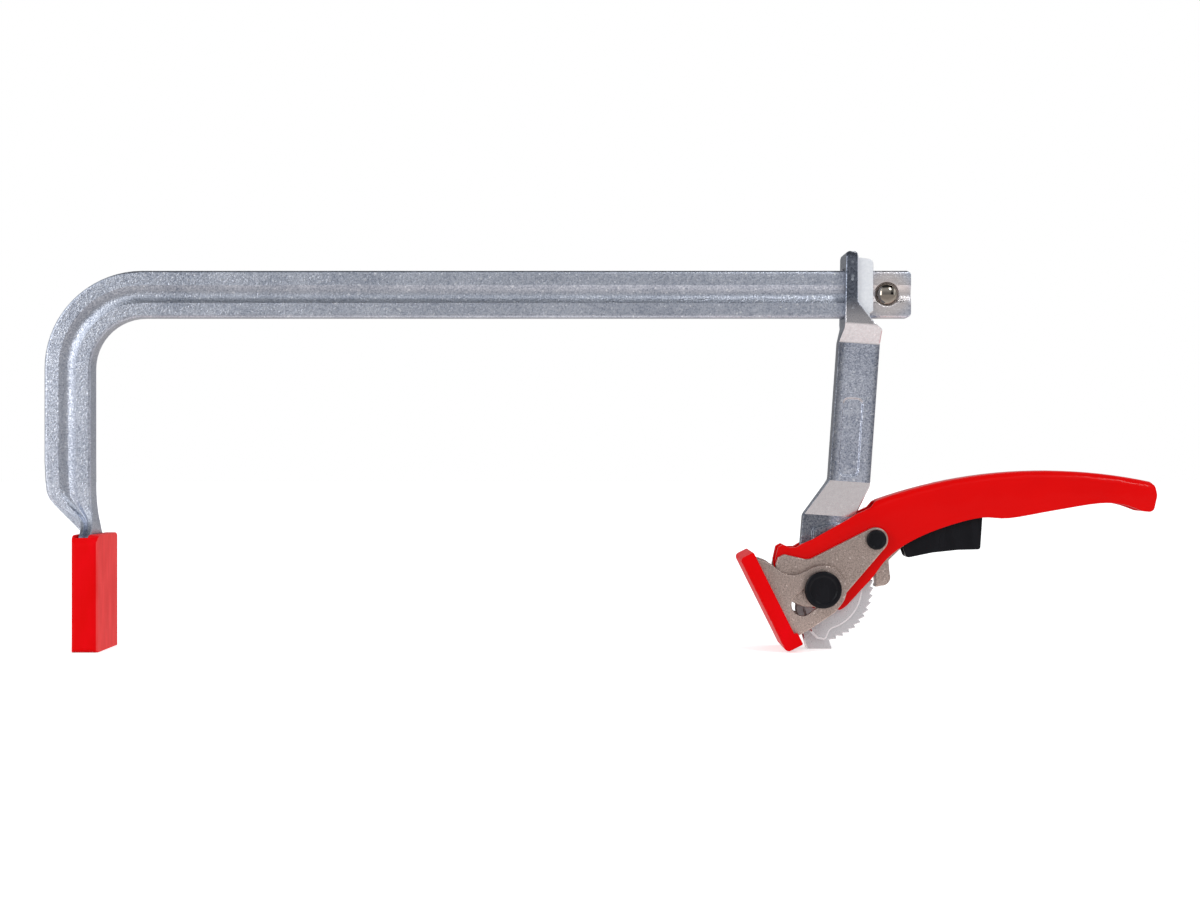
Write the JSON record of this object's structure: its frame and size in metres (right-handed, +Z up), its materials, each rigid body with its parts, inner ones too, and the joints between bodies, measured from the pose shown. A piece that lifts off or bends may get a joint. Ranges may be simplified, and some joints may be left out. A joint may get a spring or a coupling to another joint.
{
  "type": "ratchet clamp",
  "caption": "Lever clamp with an L-shaped grooved steel rail, a canting sliding arm, a ratcheting cam lever with trigger, and a swivelling pressure pad.",
  "frame": {"origin": "bottom centre of the whole clamp's box as it stands on its jaws", "axes": "+X along the rail from the fixed jaw to the lever's end, +Y across the clamp, +Z up from the jaws to the rail"},
  "size_m": [0.4145, 0.034, 0.1484],
  "materials": {
    "zinc_plated_steel": "bluish zinc plating, fine grain, bright edges",
    "nickel_plated_steel": "warm nickel plating, fine grain",
    "bright_steel": "polished",
    "red_lacquer": "glossy red paint on pressed steel",
    "red_soft_plastic": "soft red plastic",
    "black_plastic": "glossy black plastic",
    "spring_steel": "drawn wire"
  },
  "bodies": {
    "frame": {"rail": "zinc_plated_steel", "fixed_jaw_cap": "red_soft_plastic", "end_stop": "bright_steel"},
    "arm": {"sliding_arm": "zinc_plated_steel"},
    "lever": {"lever_channel": "red_lacquer", "cam_plate_front": "nickel_plated_steel", "cam_plate_back": "nickel_plated_steel", "pawl_pin": "bright_steel", "pawl_pin_cap_front": "black_plastic", "pawl_pin_cap_back": "black_plastic", "pawl_spring": "spring_steel"},
    "pawl": {"pawl": "nickel_plated_steel", "trigger_cover": "black_plastic"},
    "axle": {"axle_pin": "bright_steel", "axle_washer_front": "nickel_plated_steel", "axle_washer_back": "nickel_plated_steel", "axle_cap_front": "black_plastic", "axle_cap_back": "black_plastic"},
    "pad": {"pressure_bracket": "nickel_plated_steel", "moving_jaw_cap": "red_soft_plastic"}
  },
  "joints": [
    {"name": "arm_slide", "type": "slide", "parent": "frame", "child": "arm", "axis": [1, 0, 0], "range_m": [-0.234, 0.0012]},
    {"name": "lever_swing", "type": "hinge", "parent": "arm", "child": "lever", "pos_m": [0.0821, 0, 0.023], "axis": [0, -1, 0], "range_deg": [-72, 2.5]},
    {"name": "pawl_swing", "type": "hinge", "parent": "lever", "child": "pawl", "pos_m": [0.1022, 0, 0.0413], "axis": [0, -1, 0], "range_deg": [-2.4, 9], "stiffness_Nm_per_rad": 0.5},
    {"name": "pad_swivel", "type": "hinge", "parent": "arm", "child": "axle", "pos_m": [0.0821, 0, 0.023], "axis": [0, -1, 0], "range_deg": [-27, 0]},
    {"name": "pad_slide", "type": "slide", "parent": "axle", "child": "pad", "axis": [-0.7934, 0, -0.6088], "range_m": [-0.0031, 0.00012]}
  ],
  "couplings": [
    {"joint": "pad_slide", "follows": "lever_swing", "m_per_rad": 0.0023873}
  ]
}
